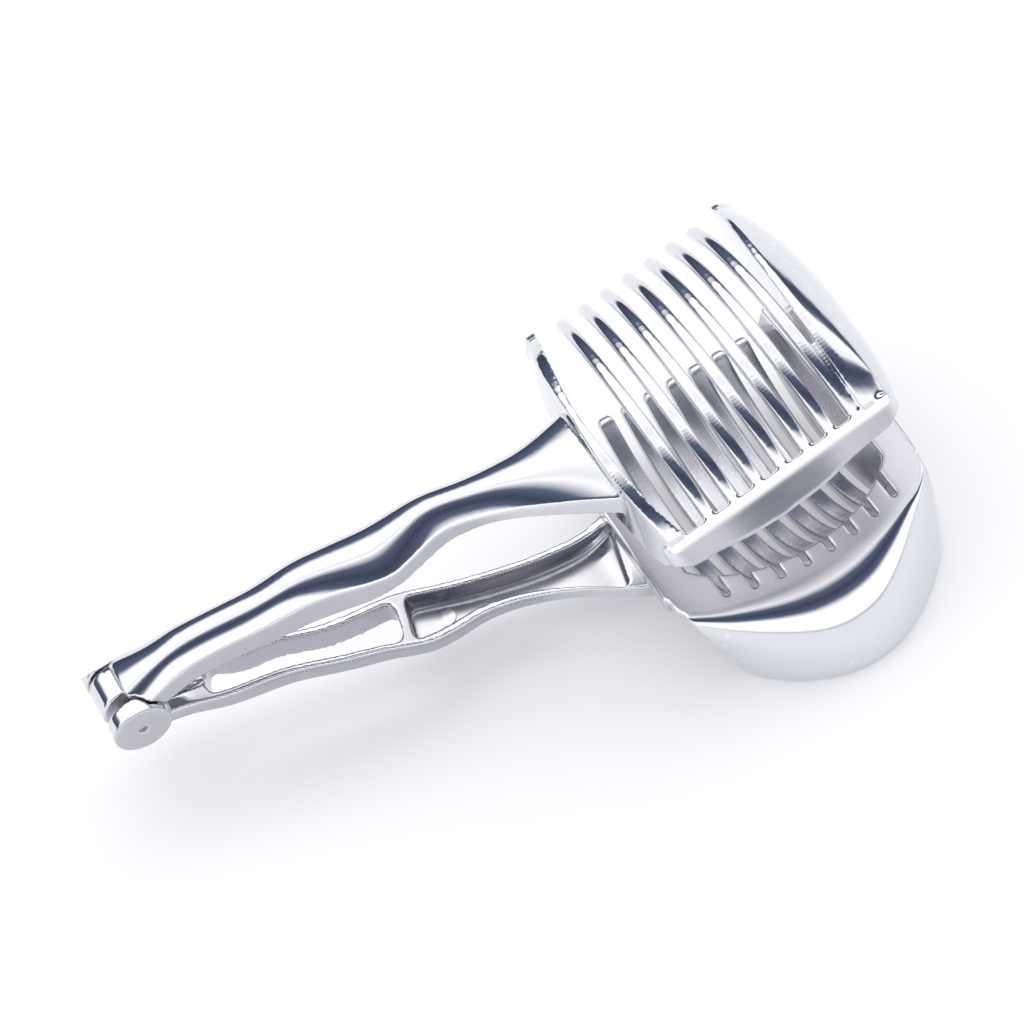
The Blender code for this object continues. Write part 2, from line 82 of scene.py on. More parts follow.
NEAR_EDGE = [
    (2, -9.6), (12, -9.8), (24, -11.5), (36, -13.7), (48, -16.8), (60, -20.4), (68, -23.0),
    (73, -24.0), (80, -23.7), (88, -22.9), (96, -24.1), (104, -27.2), (112, -31.8), (120, -37.2),
    (127, -42.0), (136, -47.0),
]
UPPER_FAR_EDGE = [
    (2, 8.2), (12, 3.8), (24, 0.6), (36, -1.6), (48, -4.0), (60, -5.9), (72, -7.6), (84, -9.7),
    (96, -11.9), (108, -13.9), (118, -14.7), (127, -13.6), (136, -10.0),
]
LOWER_FAR_EDGE = [
    (2, 11.0), (9, 10.6), (15, 7.4), (21, 3.2), (28, 0.4), (36, -0.9), (48, -4.2), (60, -6.0),
    (72, -6.4), (84, -9.3), (96, -12.4), (108, -15.5), (118, -17.0), (127, -15.8), (136, -11.0),
]
RIM_HALF_GAP = [
    (2, 0.6), (12, 2.4), (20, 4.6), (40, 4.9), (52, 6.6), (64, 7.0), (72, 8.7), (80, 10.2),
    (100, 11.1), (112, 9.9), (127, 8.4), (136, 6.0),
]
UPPER_WALL = [
    (2, 4.0), (12, 5.8), (24, 6.4), (40, 7.5), (64, 8.2), (72, 5.8), (90, 5.4), (100, 4.0),
    (110, 4.9), (127, 7.6), (136, 8.0),
]
LOWER_WALL = [
    (2, 3.6), (12, 4.6), (40, 5.6), (70, 5.4), (90, 4.5), (112, 4.1), (127, 5.0), (136, 5.0),
]
EJECTOR_AT = (79.8, -14.4)
NEAR_SLOPE = [(2, 2.1), (14, 1.9), (40, 1.8), (70, 1.5), (100, 1.45), (136, 1.35)]
UPPER_NEAR_OUTLINE = [
    (-57.5, 128.6), (-52.9, 126.7), (-46, 126.2), (-34.9, 125.2), (-14, 125.8), (0.9, 126.9),
    (8.7, 128.7), (16.5, 131.4),
]
UPPER_NEAR_EDGE_X = [(-57.5, 131.4), (-42, 129.4), (-19, 129.9), (-3, 130.6), (14, 133.2)]
UPPER_NEAR_INNER_X = [
    (-57.5, 136.0), (-50, 133.6), (-45, 132.7), (-35, 131.8), (-21, 131.6), (0, 134.1), (14, 135.6),
]
UPPER_FAR_OUTLINE = [
    (-56, 195.9), (-48, 197.8), (-29.4, 199.6), (-7.3, 199.3), (7.3, 196.9), (16.5, 194.4),
]
UPPER_FAR_EDGE_X = [(-56, 189.4), (-37, 188.9), (-16, 189.3), (14, 191.2)]
UPPER_FAR_INNER_X = [(-56, 187.1), (-37, 187.1), (-16, 187.8), (14, 189.8)]
BAR_FOOT = [
    (129, -57.8), (132.3, -60.3), (140.2, -61.6), (148, -63.0), (156.2, -63.7), (163, -63.6),
    (171.1, -63.1), (177.8, -61.8), (184.8, -60.9), (192.5, -59.6), (195.6, -57.2),
]
SKIRT_EDGE = [
    (127.8, -58), (133, -60.4), (139.6, -62.4), (150, -64.8), (163, -65.8), (176, -65.0),
    (187, -62.9), (193.5, -60.8), (198, -57), (200, -50), (201, -40),
]
FLANGE_EDGE = [(125.7, -40), (126.2, -50)] + SKIRT_EDGE
SKIRT_FOOT = [
    (136.6, -67), (139.7, -71.2), (144.4, -75.5), (150.7, -79.5), (157.7, -82.3), (166, -83.3),
    (174.4, -81.9), (183.3, -77.6), (190.7, -72), (197.8, -64.5), (201.3, -57), (202.8, -48),
    (203, -40),
]
BOWL_MIDDLE = (163.6, -37.8)


# Curves shared by the shapes

def smooth(x, stations):
    """Smooth curve through the stations: cubic Hermite with slopes taken from the neighbours."""
    xs = np.array([p[0] for p in stations], float)
    ys = np.array([p[1] for p in stations], float)
    slopes = np.gradient(ys, xs)
    x = np.clip(x, xs[0], xs[-1])
    i = np.clip(np.searchsorted(xs, x) - 1, 0, len(xs) - 2)
    step = xs[i + 1] - xs[i]
    t = (x - xs[i]) / step
    low = (2 * t**3 - 3 * t**2 + 1) * ys[i] + (t**3 - 2 * t**2 + t) * step * slopes[i]
    return low + (3 * t**2 - 2 * t**3) * ys[i + 1] + (t**3 - t**2) * step * slopes[i + 1]


def parting(x):
    return -5.5 * np.minimum(x / 127.0, 1.0)


def circle_through(a, b, c):
    """Centre and radius of the circle through three points."""
    (ax, ay), (bx, by), (cx, cy) = a, b, c
    d = 2 * (ax * (by - cy) + bx * (cy - ay) + cx * (ay - by))
    ux = ((ax**2 + ay**2) * (by - cy) + (bx**2 + by**2) * (cy - ay) + (cx**2 + cy**2) * (ay - by)) / d
    uy = ((ax**2 + ay**2) * (cx - bx) + (bx**2 + by**2) * (ax - cx) + (cx**2 + cy**2) * (bx - ax)) / d
    return (ux, uy), math.hypot(ax - ux, ay - uy)


TINE_CENTRE, TINE_RADIUS = circle_through((14.7, 4.0), (-22.0, 19.0), (RIDGE_Y, 0.6))
BOWL_CENTRE, BOWL_RADIUS = circle_through((-59.6, FLANGE_TOP), (-27.0, -27.0), (8.3, -14.0))


def tine_top(y):
    return TINE_CENTRE[1] + math.sqrt(TINE_RADIUS**2 - (y - TINE_CENTRE[0]) ** 2)


def bowl_floor(y):
    return BOWL_CENTRE[1] - math.sqrt(BOWL_RADIUS**2 - (y - BOWL_CENTRE[0]) ** 2)


def resampled(points, count):
    """The polyline smoothed and divided into count points at equal steps of length."""
    pts = np.array(points, float)
    s = np.concatenate([[0], np.cumsum(np.hypot(*np.diff(pts, axis=0).T))])
    at = np.linspace(0, s[-1], count)
    xs = smooth(at, list(zip(s, pts[:, 0])))
    ys = smooth(at, list(zip(s, pts[:, 1])))
    return list(zip(xs, ys))


# Making and cutting shapes

def new_object(name, shape):
    mesh = bpy.data.meshes.new(name)
    shape.to_mesh(mesh)
    shape.free()
    obj = bpy.data.objects.new(name, mesh)
    bpy.context.scene.collection.objects.link(obj)
    return obj


def loft(name, rings, sheet=False):
    """Solid through closed rings of equal length, capped at both ends; a sheet's caps are strips."""
    shape = bmesh.new()
    rows = [[shape.verts.new(point) for point in ring] for ring in rings]
    for row, following in zip(rows, rows[1:]):
        for i in range(len(row)):
            j = (i + 1) % len(row)
            shape.faces.new((row[i], row[j], following[j], following[i]))
    for row in (rows[0], rows[-1]):
        if sheet:
            for i in range(len(row) // 2 - 1):
                shape.faces.new((row[i], row[i + 1], row[-i - 2], row[-i - 1]))
        else:
            shape.faces.new(row)
    bmesh.ops.recalc_face_normals(shape, faces=shape.faces)
    return new_object(name, shape)


def cylinder(name, radius, y_from, y_to, segments=96, x=0.0, z=0.0, edge=0.0):
    """Round bar along Y, with its edges rounded by edge."""
    shape = bmesh.new()
    length = y_to - y_from
    bmesh.ops.create_cone(
        shape, cap_ends=True, segments=segments, radius1=radius, radius2=radius, depth=length
    )
    if edge:
        rims = [e for e in shape.edges if abs(e.verts[0].co.z - e.verts[1].co.z) < 1e-6]
        bmesh.ops.bevel(shape, geom=rims, offset=edge, segments=3, profile=0.5, affect="EDGES")
    obj = new_object(name, shape)
    obj.data.transform(Matrix.Rotation(math.radians(90), 4, "X"))
    obj.data.transform(Matrix.Translation((x, (y_from + y_to) / 2, z)))
    return obj


def block(name, x, y, z, edge=0.0):
    """Box between the given limits along each axis."""
    shape = bmesh.new()
    bmesh.ops.create_cube(shape, size=1.0)
    for vert in shape.verts:
        for axis, (low, high) in enumerate((x, y, z)):
            vert.co[axis] = low if vert.co[axis] < 0 else high
    if edge:
        bmesh.ops.bevel(shape, geom=shape.edges[:], offset=edge, segments=3, profile=0.5, affect="EDGES")
    return new_object(name, shape)


def cut(base, *tools):
    """Subtracts the tools from base and removes them."""
    for tool in tools:
        modifier = base.modifiers.new(tool.name, "BOOLEAN")
        modifier.operation = "DIFFERENCE"
        modifier.solver = "EXACT"
        modifier.object = tool
    settled(base)
    for tool in tools:
        bpy.data.objects.remove(tool)
    return base


def settled(obj):
    """Applies the modifiers of obj."""
    graph = bpy.context.evaluated_depsgraph_get()
    mesh = bpy.data.meshes.new_from_object(obj.evaluated_get(graph))
    obj.modifiers.clear()
    obj.data = mesh
    return obj


def joined(name, objects):
    shape = bmesh.new()
    for obj in objects:
        shape.from_mesh(obj.data)
    for obj in objects:
        bpy.data.objects.remove(obj)
    return new_object(name, shape)


def cast(obj, passes=8):
    """Turns overlapping solids into one skin with the soft edges and fillets of a casting."""
    remesh = obj.modifiers.new("skin", "REMESH")
    remesh.mode = "VOXEL"
    remesh.voxel_size = VOXEL
    soften = obj.modifiers.new("soften", "SMOOTH")
    soften.factor = 0.5
    soften.iterations = passes
    settled(obj)
    obj.data.polygons.foreach_set("use_smooth", [True] * len(obj.data.polygons))
    return obj


# Upper casting

def handle_ring(x, near, far, rim, wall, crown, points=36, slope=2.2):
    """Section of a handle: straight walls from the rim, then a crown that slopes on its near side."""
    middle = (near + far) / 2
    half = (far - near) / 2
    ring = [(x, near, rim)]
    for i in range(points + 1):
        angle = math.pi - math.pi * i / points
        u = math.cos(angle)
        rise = 1 - abs(u) ** slope if u < 0 else math.sin(angle)
        ring.append((x, middle + half * u, wall + crown * rise))
    ring.append((x, far, rim))
    return ring


def upper_handle_rings(xs, inset=0.0, drop=0.0):
    rings = []
    for x in xs:
        near = smooth(x, NEAR_EDGE) + inset
        far = smooth(x, UPPER_FAR_EDGE) - inset
        rim = parting(x) + smooth(x, RIM_HALF_GAP)
        wall = rim + smooth(x, UPPER_WALL)
        crown = TOP_CROWN - inset * 0.8
        rings.append(handle_ring(x, near, far, rim - drop, wall, crown, slope=smooth(x, NEAR_SLOPE)))
    return rings


def skewed(rings, shear=0.24):
    """The rings sheared along X with Y, so that they stand square to the slanting handle."""
    turned = []
    for ring in rings:
        middle = sum(p[1] for p in ring) / len(ring)
        turned.append([(x + shear * (y - middle), y, z) for x, y, z in ring])
    return turned


def arc_point(centre, radius, angle):
    return centre[0] + radius * math.cos(angle), centre[1] + radius * math.sin(angle)


def plate_rings(outline, top_edge, inner_edge, y_end, bulge):
    """Sections along Y of a side plate: upright inner face, narrow top, outer face bulging to its foot."""
    rings = []
    for y in np.linspace(-56.5, y_end, 120):
        tip = max(0.0, (y - 6) / (y_end - 6))
        top = tine_top(min(y, 14.7)) + 0.6 * (1 - tip)
        foot = FRAME_BOTTOM if y < 4 else FRAME_BOTTOM + 4.2 * ((y - 4) / (y_end - 4)) ** 2
        inner_x = smooth(y, inner_edge)
        ridge_x = smooth(y, top_edge)
        foot_x = smooth(y, outline)
        outer = []
        for t in np.linspace(0, 1, 20):
            share = 1 - t**bulge
            outer.append((ridge_x + (foot_x - ridge_x) * share, y, foot + (top - foot) * t))
        rings.append([(inner_x, y, foot)] + outer + [(inner_x, y, top)])
    return rings


def bar_rings():
    """Sections along X of the front bar: upright inner face, narrow ridge, face sloping out to its foot."""
    rings = []
    for x in np.linspace(129.2, 195.4, 120):
        foot = smooth(x, BAR_FOOT)
        inner = min(BAR_INNER_Y, foot + 12)
        ridge = max(RIDGE_Y, foot + 0.8)
        high = tine_top(RIDGE_Y)
        low = FRAME_BOTTOM + 1.2
        ring = [
            (x, inner, FRAME_BOTTOM),
            (x, inner, tine_top(BAR_INNER_Y) - 0.2),
            (x, ridge + 0.4, high + 0.1),
        ]
        for t in np.linspace(0, 1, 12):
            ring.append((x, ridge + (foot - ridge) * t, high - 0.5 + (low - high + 0.5) * t))
        ring += [(x, foot + 0.15, FRAME_BOTTOM + 0.5), (x, foot + 0.8, FRAME_BOTTOM)]
        rings.append(ring)
    return rings


def tine(index):
    """Curved bar of rounded section, from inside the front bar to its round tip."""
    root_x = SLOT_FIRST_X + SLOT_PITCH * (index + 0.5)
    lean = -(0.55 + 0.32 * index) / 69.4
    start = math.atan2(tine_top(-57.0) - TINE_CENTRE[1], -57.0 - TINE_CENTRE[0])
    end = math.atan2(4.0 - TINE_CENTRE[1], 13.2 - TINE_CENTRE[0])
    middle = TINE_RADIUS - TINE_DEPTH / 2
    half_width = TINE_WIDTH / 2
    half_depth = TINE_DEPTH / 2
    rings = []
    stations = [(angle, 1.0) for angle in np.linspace(start, end, 60)]
    for turn in np.linspace(0, math.radians(85), 8)[1:]:
        stations.append((end - half_depth * math.sin(turn) / middle, math.cos(turn)))
    for angle, size in stations:
        ring = []
        for a in np.linspace(0, 2 * math.pi, 29)[:-1]:
            across = math.copysign(abs(math.cos(a)) ** 0.72, math.cos(a)) * half_width * size
            along = math.copysign(abs(math.sin(a)) ** 0.72, math.sin(a)) * half_depth * size
            y, z = arc_point(TINE_CENTRE, middle + along, angle)
            ring.append((root_x + lean * (y - BAR_INNER_Y) + across, y, z))
        rings.append(ring)
    return loft(f"tine_{index + 1}_bar", rings)


def make_upper_casting():
    handle = loft("handle", upper_handle_rings(np.linspace(2, 130.6, 130)))
    hollow = upper_handle_rings(np.linspace(10.5, 116, 100), WALL, 4.0)
    cut(
        handle,
        cylinder("near_lug_room", LUG_RADIUS + 0.5, -BARREL_HALF - 2, -LUG_INNER + 2 * GAP),
        cylinder("far_lug_room", LUG_RADIUS + 0.5, KNUCKLE_FAR, BARREL_HALF + 2),
        cylinder("spring_room", SPRING_RADIUS + 1.3, -LUG_INNER - 1, KNUCKLE_NEAR),
        loft("hollow", skewed(hollow)),
        block("leg_room", (0, 15), (-LUG_INNER, -LUG_INNER + 1.6), (-2, 5.4)),
    )
    knuckle = cylinder("knuckle", LUG_RADIUS - 0.3, KNUCKLE_NEAR, KNUCKLE_FAR)
    web = block("web", (0, 12), (KNUCKLE_NEAR, KNUCKLE_FAR - 1.2), (2.4, 7.6))
    bore = PIN_RADIUS + GAP
    cut(knuckle, cylinder("bore_a", bore, -20, 20, 48))
    cut(web, cylinder("bore_b", bore, -20, 20, 48))
    near_plate = plate_rings(UPPER_NEAR_OUTLINE, UPPER_NEAR_EDGE_X, UPPER_NEAR_INNER_X, 16.2, 1.2)
    far_plate = plate_rings(UPPER_FAR_OUTLINE, UPPER_FAR_EDGE_X, UPPER_FAR_INNER_X, 16.2, 2.4)
    pieces = [
        handle,
        knuckle,
        web,
        loft("near_plate", near_plate),
        loft("far_plate", far_plate),
        loft("bar", bar_rings()),
    ]
    pieces += [tine(index) for index in range(SLOT_COUNT - 1)]
    return cast(joined("upper_casting", pieces))


# Lower casting

def lower_rim(x):
    return parting(x) - smooth(x, RIM_HALF_GAP)


def lower_handle_rings(xs):
    rings = []
    for x in xs:
        wall = lower_rim(x) - smooth(x, LOWER_WALL)
        near = smooth(x, NEAR_EDGE)
        far = smooth(x, LOWER_FAR_EDGE)
        rings.append(handle_ring(x, near, far, lower_rim(x), wall, -BOTTOM_CROWN))
    return rings


def channel_rings(xs, floor_depth, corner=1.4):
    """Rings of the cutter that hollows the lower handle from above, with rounded lower corners."""
    rings = []
    for x in xs:
        near = smooth(x, NEAR_EDGE) + WALL
        far = smooth(x, LOWER_FAR_EDGE) - WALL
        top = lower_rim(x) + 12
        floor = lower_rim(x) - floor_depth(x)
        ring = [(x, near, top)]
        for a in np.linspace(math.pi, 1.5 * math.pi, 6):
            ring.append((x, near + corner + corner * math.cos(a), floor + corner + corner * math.sin(a)))
        for a in np.linspace(1.5 * math.pi, 2 * math.pi, 6):
            ring.append((x, far - corner + corner * math.cos(a), floor + corner + corner * math.sin(a)))
        ring.append((x, far, top))
        rings.append(ring)
    return rings


def pinched(rings, length=2.6):
    """The rings drawn in towards their middle near both ends, which rounds the ends in plan."""
    first = rings[0][0][0]
    last = rings[-1][0][0]
    drawn = []
    for ring in rings:
        x = ring[0][0]
        reach = min(x - first, last - x) / length
        lost = 0.0 if reach >= 1 else length * (1 - math.sqrt(max(0.0, 1 - (1 - reach) ** 2)))
        middle = sum(p[1] for p in ring) / len(ring)
        half = max(abs(p[1] - middle) for p in ring)
        share = max(0.15, (half - lost) / half)
        drawn.append([(px, middle + (py - middle) * share, pz) for px, py, pz in ring])
    return drawn


def floor_depth(x):
    return 7.6 if x < 108 else 7.6 - 3.6 * ((x - 108) / 17) ** 2


def bowl_rim(angle):
    return BOWL_MIDDLE[0] + 32.4 * math.cos(angle), BOWL_MIDDLE[1] + 21.7 * math.sin(angle)


def flange_rings(columns=161):
    rings = []
    low = FLANGE_TOP - FLANGE_THICK
    for i, (x, y) in enumerate(resampled(FLANGE_EDGE, columns)):
        rim = bowl_rim(math.pi + math.pi * i / (columns - 1))
        rings.append([(*rim, FLANGE_TOP), (x, y, FLANGE_TOP), (x, y, low), (*rim, low)])
    return rings


def skirt_rings(columns=121):
    """Sections of the skirt, which rolls over from the flange's edge and drops to its foot."""
    rings = []
    drop = FLANGE_TOP - SKIRT_BOTTOM
    tops = resampled(SKIRT_EDGE, columns)
    feet = resampled(SKIRT_FOOT, columns)
    for i, (top, foot) in enumerate(zip(tops, feet)):
        round_share = min(i / (columns * 0.45), 1.0)
        inward = np.array(BOWL_MIDDLE) - np.array(top)
        inward = inward / np.hypot(*inward)
        outer = [(top[0] + 2 * inward[0], top[1] + 2 * inward[1], FLANGE_TOP)]
        inner = [(top[0] + 2 * inward[0], top[1] + 2 * inward[1], FLANGE_TOP - 1.8)]
        for angle in np.linspace(0, math.pi / 2, 40):
            out = math.sin(angle)
            down = 1 - math.cos(angle)
            along = down + (out - down) * round_share
            x = top[0] + (foot[0] - top[0]) * along
            y = top[1] + (foot[1] - top[1]) * out
            z = FLANGE_TOP - drop * down
            outer.append((x, y, z))
            inset = SKIRT_THICK * out
            inner.append((x + inset * inward[0], y + inset * inward[1], z - SKIRT_THICK * (1 - down)))
        rings.append(outer + inner[::-1])
    return rings


def end_wall_rings(side):
    """Sections along Y of an end wall of the bowl; side is -1 at the handle and +1 at the nose."""
    rings = []
    for y in np.linspace(-52, 9, 60):
        floor = bowl_floor(y)
        if side < 0:
            top_out, top_in, low_in = 125.9 + 0.02 * (y + 40), 134.6, 137.4
        else:
            top_out, top_in, low_in = 200.6 - 0.05 * max(y + 35, 0), 192.6, 189.9
        low_out = low_in + side * 3.2
        rings.append([
            (top_out, y, FLANGE_TOP),
            (top_in, y, FLANGE_TOP),
            (low_in, y, floor),
            (low_in, y, floor - RIB_DEPTH),
            (low_out, y, floor - RIB_DEPTH),
            (top_out, y, FLANGE_TOP - 5.5),
        ])
    return rings


def slot_cutter(index):
    """Round-ended slot through the flange, running into the bowl."""
    x = SLOT_FIRST_X + SLOT_PITCH * index
    end = -63.8 + 0.34 * (index - 3.5) ** 2
    half = SLOT_WIDTH / 2 - 0.15
    outline = [(x + half, -30.0)]
    for a in np.linspace(0, -math.pi, 13):
        outline.append((x + half * math.cos(a), end + half + half * math.sin(a)))
    outline.append((x - half, -30.0))
    rings = [[(px, py, z) for px, py in outline] for z in (FLANGE_TOP - 4, FLANGE_TOP + 2)]
    return loft(f"slot_{index + 1}", rings)


def rib(index):
    """Bowl rib of rounded-box section along the bowl's arc, with a round tip."""
    x = SLOT_FIRST_X + SLOT_PITCH * (index + 0.5)
    outer = BOWL_RADIUS + RIB_DEPTH / 2
    start = -math.pi - math.asin((FLANGE_TOP - 1.6 - BOWL_CENTRE[1]) / outer)
    end = math.atan2(-14.0 - BOWL_CENTRE[1], 6.6 - BOWL_CENTRE[0])
    half_width = RIB_WIDTH / 2
    half_depth = RIB_DEPTH / 2
    stations = [(angle, 1.0) for angle in np.linspace(start, end, 60)]
    for turn in np.linspace(0, math.radians(85), 8)[1:]:
        stations.append((end + half_depth * math.sin(turn) / outer, math.cos(turn)))
    rings = []
    for angle, size in stations:
        ring = []
        for a in np.linspace(0, 2 * math.pi, 33)[:-1]:
            across = math.copysign(abs(math.cos(a)) ** 0.22, math.cos(a)) * half_width
            along = math.copysign(abs(math.sin(a)) ** 0.22, math.sin(a)) * half_depth * size
            y, z = arc_point(BOWL_CENTRE, outer + along, angle)
            ring.append((x + across * (0.5 + 0.5 * size), y, z))
        rings.append(ring)
    return loft(f"rib_{index + 1}_bar", rings)


def make_lower_casting():
    handle = loft("handle", lower_handle_rings(np.linspace(2, 134, 133)))
    cut(
        handle,
        cylinder("knuckle_room", LUG_RADIUS + 0.5, -LUG_INNER, LUG_INNER),
        loft("window", skewed(pinched(channel_rings(np.linspace(19, 68.5, 60), lambda x: 30)))),
        block("leg_room", (0, 22), (KNUCKLE_NEAR - 1.6, KNUCKLE_NEAR), (-5.4, 4)),
        loft("pocket", skewed(pinched(channel_rings(np.linspace(71, 125, 60), floor_depth), 1.6))),
    )
    bore = PIN_RADIUS - 0.15
    near_lug = cylinder("near_lug", LUG_RADIUS, -BARREL_HALF, -LUG_INNER)
    cut(near_lug, cylinder("bore_a", bore, -20, 20, 48))
    slope = block("slope", (-20, 20), (0, 12), (-20, 20))
    slope.data.transform(Matrix.Translation((0, BARREL_HALF, 0)) @ Matrix.Rotation(math.atan(0.65), 4, "X"))
    far_lug = cylinder("far_lug", LUG_RADIUS, LUG_INNER, BARREL_HALF)
    cut(far_lug, slope, cylinder("bore_b", bore, -20, 20, 48))
    flange = loft("flange", flange_rings(), sheet=True)
    cut(flange, *[slot_cutter(index) for index in range(SLOT_COUNT)])
    skirt = loft("skirt", skirt_rings(), sheet=True)
    heel = loft("heel", end_wall_rings(-1))
    toe = loft("toe", end_wall_rings(1))
    pieces = [handle, near_lug, far_lug, flange, skirt, heel, toe]
    pieces += [rib(index) for index in range(SLOT_COUNT - 1)]
    casting = cast(joined("lower_casting", pieces))
    floor = lower_rim(EJECTOR_AT[0]) - floor_depth(EJECTOR_AT[0])
    mark = cylinder("ejector_mark", 2.9, -0.6, 0.22, 64, edge=0.18)
    mark.data.transform(Matrix.Translation((*EJECTOR_AT, floor)) @ Matrix.Rotation(math.radians(90), 4, "X"))
    return joined("lower_casting", [casting, mark])


# Hinge

def make_spring():
    """Torsion spring round the pin, one leg under the upper handle and one in the lower handle."""
    curve = bpy.data.curves.new("torsion_coil", "CURVE")
    curve.dimensions = "3D"
    curve.bevel_depth = SPRING_WIRE
    curve.bevel_resolution = 5
    curve.use_fill_caps = True
    y_near = -LUG_INNER + GAP + SPRING_WIRE
    y_far = KNUCKLE_NEAR - GAP - SPRING_WIRE
    first = math.pi / 2
    turn = 3 * math.pi
    points = [(14.0, y_near, 4.3)]
    for angle in np.linspace(first, first + turn, 80):
        y = y_near + (y_far - y_near) * (angle - first) / turn
        points.append((SPRING_RADIUS * math.cos(angle), y, SPRING_RADIUS * math.sin(angle)))
    points.append((14.0, y_far, -4.4))
    spline = curve.splines.new("POLY")
    spline.points.add(len(points) - 1)
    for point, co in zip(spline.points, points):
        point.co = (*co, 1)
    obj = bpy.data.objects.new("torsion_coil", curve)
    bpy.context.scene.collection.objects.link(obj)
    graph = bpy.context.evaluated_depsgraph_get()
    mesh = bpy.data.meshes.new_from_object(obj.evaluated_get(graph))
    bpy.data.objects.remove(obj)
    wire = bpy.data.objects.new("torsion_coil", mesh)
    bpy.context.scene.collection.objects.link(wire)
    mesh.polygons.foreach_set("use_smooth", [True] * len(mesh.polygons))
    return wire


def make_washer():
    washer = cylinder("washer", 5.4, KNUCKLE_FAR + 0.25, KNUCKLE_FAR + 0.65, 96, edge=0.1)
    return cut(washer, cylinder("hole", PIN_RADIUS + GAP, KNUCKLE_FAR, KNUCKLE_FAR + 1, 48))


# Finishes, painted shade and painted highlights

def step(values, low, high):
    t = np.clip((values - low) / (high - low), 0, 1)
    return t * t * (3 - 2 * t)


def points_and_normals(obj):
    co = np.zeros(len(obj.data.vertices) * 3)
    obj.data.vertices.foreach_get("co", co)
    normals = np.zeros(len(obj.data.vertices) * 3)
    obj.data.vertices.foreach_get("normal", normals)
    return co.reshape(-1, 3), normals.reshape(-1, 3)


def store(obj, name, values):
    attribute = obj.data.attributes.new(name, "FLOAT", "POINT")
    attribute.data.foreach_set("value", values.astype(np.float32))


def mark_upper(obj):
    """How satin each point of the upper casting is, from 0, mirror bright, to 1, and how much darker its
    colour is made: partly the duller satin finish, partly painted shade set region by region on the near
    side wall and inside the hollow handle.
    """
    co, n = points_and_normals(obj)
    x, y, z = co.T
    rim = parting(x) + smooth(x, RIM_HALF_GAP)
    wall = rim + smooth(x, UPPER_WALL)
    on_handle = 1 - step(x, 118, 128)
    side = step(-n[:, 1], 0.86, 0.97) * (1 - step(z, wall - 0.4, wall + 0.9)) * on_handle
    inside = (y > smooth(x, NEAR_EDGE) + 1.2) & (y < smooth(x, UPPER_FAR_EDGE) - 1.2)
    inside = inside & (z < wall + TOP_CROWN * 0.5)
    inside = inside * step(-n[:, 2], -0.7, 0.2) * on_handle
    bar = step(-y, 57.6, 58.6) * step(-n[:, 1], 0.25, 0.6)
    bar = bar * step(x, 130, 134) * (1 - step(x, 191, 195))
    store(obj, "satin", np.maximum.reduce([side * 0.7, inside, bar]))
    # shade darkens the colour: part satin finish, part painted shade on the near side wall and inside the
    # hollow handle
    store(obj, "shade", np.maximum.reduce([side * 0.8, inside * 0.9, bar * 0.9]))
    store(obj, "serration", np.zeros(len(x)))


def mark_lower(obj):
    """The same for the lower casting, painted shade included, and where its rim carries the fine serration.
    """
    co, n = points_and_normals(obj)
    x, y, z = co.T
    head = step(x, 122, 127)
    flange = step(n[:, 2], 0.9, 0.985) * head * step(z, FLANGE_TOP - 1.5, FLANGE_TOP - 0.3)
    bowl = head * (1 - step(z, FLANGE_TOP - 2.4, FLANGE_TOP - 1.0)) * 0.6
    outer = step(-n[:, 1], 0.1, 0.5) * step(-y, 56, 60)
    bowl = bowl * (1 - outer)
    near = smooth(x, NEAR_EDGE)
    far = smooth(x, LOWER_FAR_EDGE)
    inner = step(y, near + 0.8, near + 1.4) * (1 - step(y, far - 1.4, far - 0.8))
    inner = inner * step(x, 12, 16) * (1 - step(x, 118, 123))
    side = step(-n[:, 1], 0.8, 0.95) * (x < 122)
    disc = (y < -BARREL_HALF + 0.5) & (np.hypot(x, z) < LUG_RADIUS + 0.2)
    store(obj, "satin", np.maximum.reduce([flange, bowl, inner * 0.55, side * 0.7, disc * 0.8]))
    # shade darkens the colour: part satin finish, part painted shade on the near side wall, the lug's end
    # disc, the inner channel walls and inside the bowl
    store(obj, "shade", np.maximum.reduce([flange, bowl, inner * 0.7, side * 0.8, disc * 0.7]))
    under = lower_rim(x) - z
    band = step(under, 0.5, 0.8) * (1 - step(under, 1.5, 1.9)) * side
    band = band * step(x, 26, 32) * (1 - step(x, 112, 120))
    store(obj, "serration", band)


